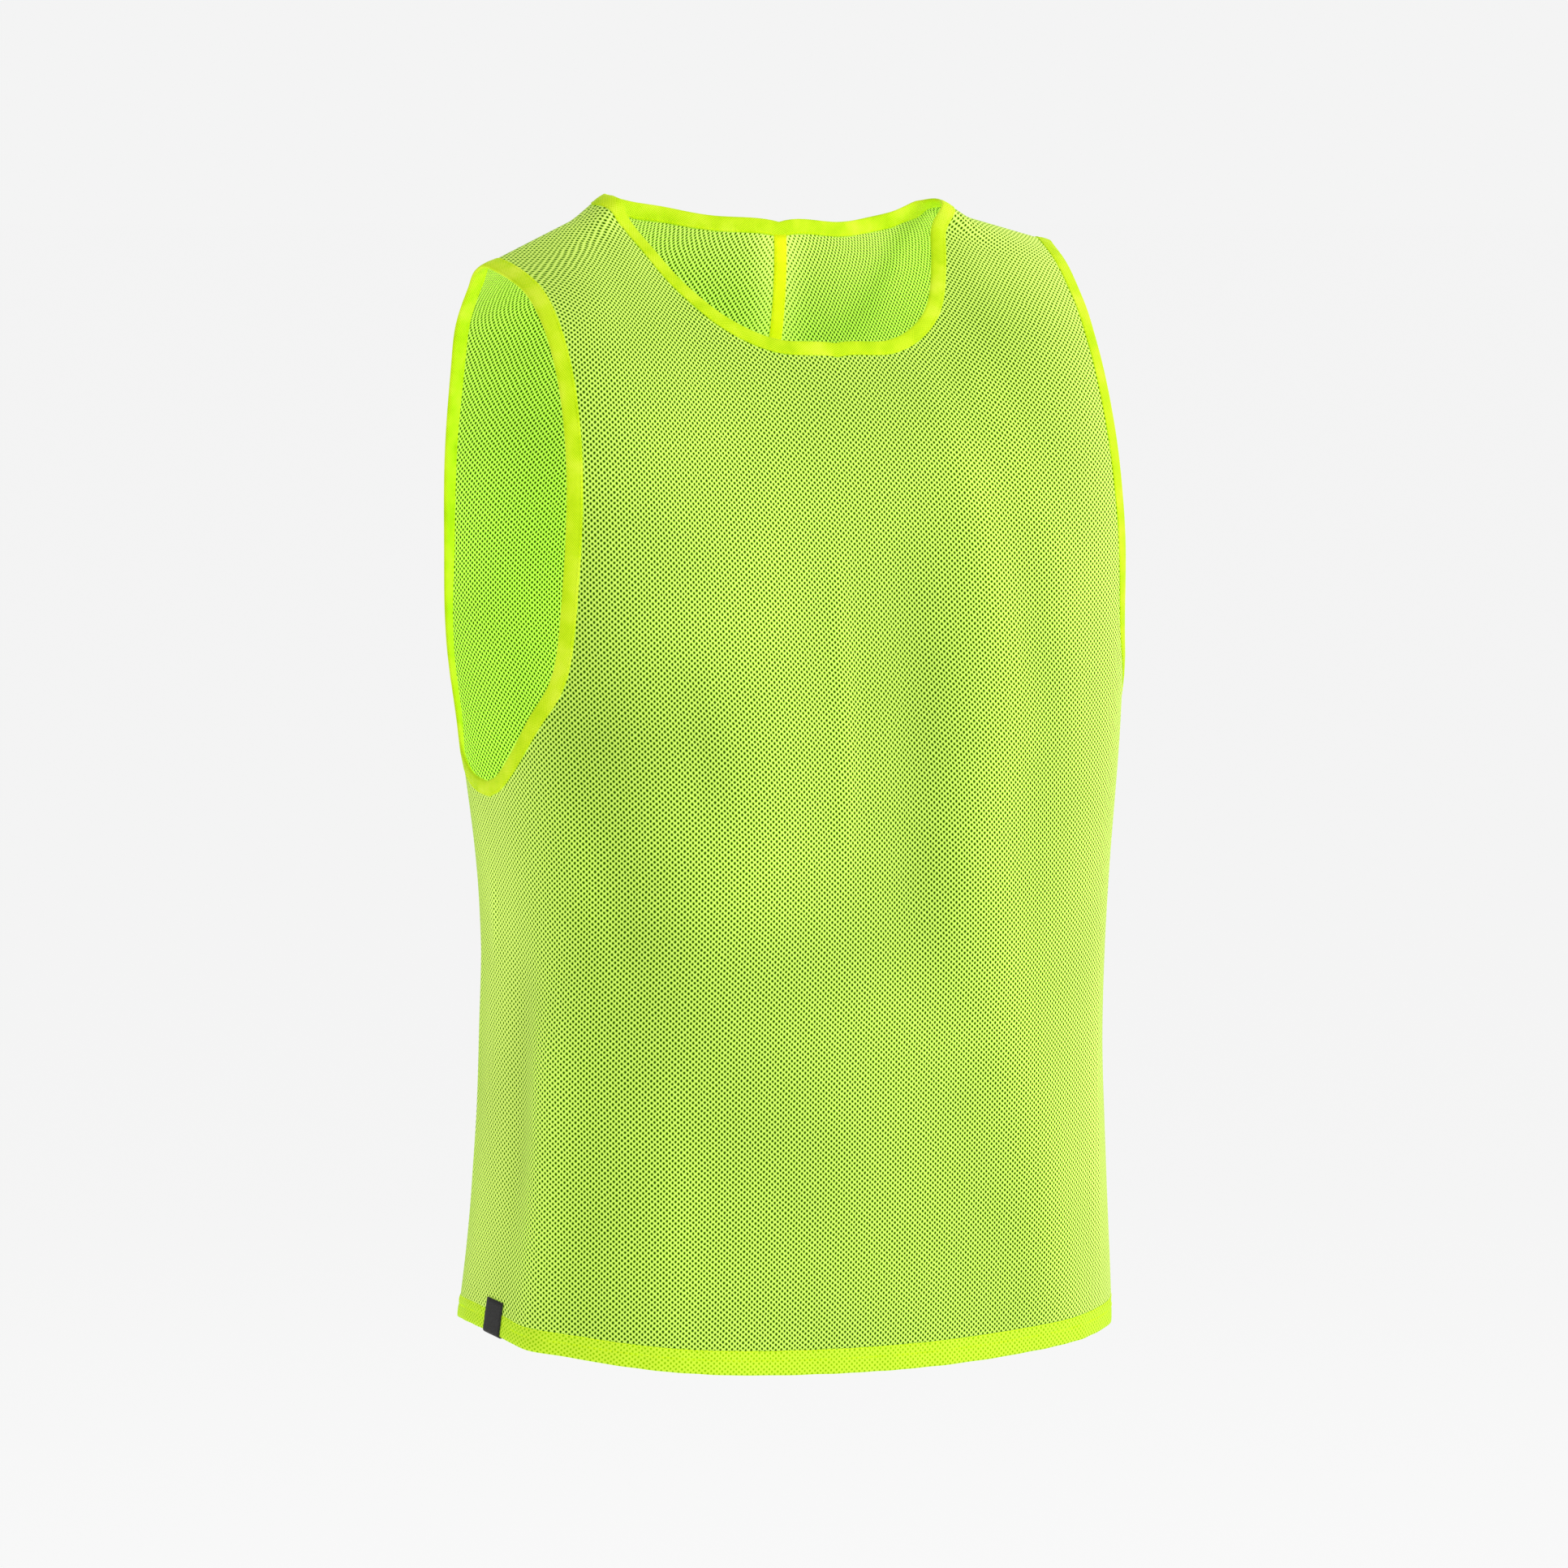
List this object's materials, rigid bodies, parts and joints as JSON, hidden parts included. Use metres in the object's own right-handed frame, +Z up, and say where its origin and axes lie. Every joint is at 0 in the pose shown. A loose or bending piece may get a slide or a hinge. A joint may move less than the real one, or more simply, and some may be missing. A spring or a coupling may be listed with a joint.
{
  "type": "training bib",
  "caption": "Sleeveless mesh training bib with a round neck, deep armholes, folded bindings and a turned-up hem, filled out as if worn.",
  "frame": {"origin": "midway between the two points where the neck edge crosses the shoulders, where a wearer's shoulders hold the garment", "axes": "+Z up, the front faces -Y, the wearer's left is +X"},
  "size_m": [0.412, 0.2258, 0.6809],
  "materials": {
    "mesh_cloth": "matte",
    "binding": "satin",
    "label": "matte"
  },
  "bodies": {
    "root": {"body": "mesh_cloth", "neck_binding": "binding", "armhole_binding_left": "binding", "armhole_binding_right": "binding", "back_seam_tape": "binding", "side_label": "label"}
  },
  "joints": []
}
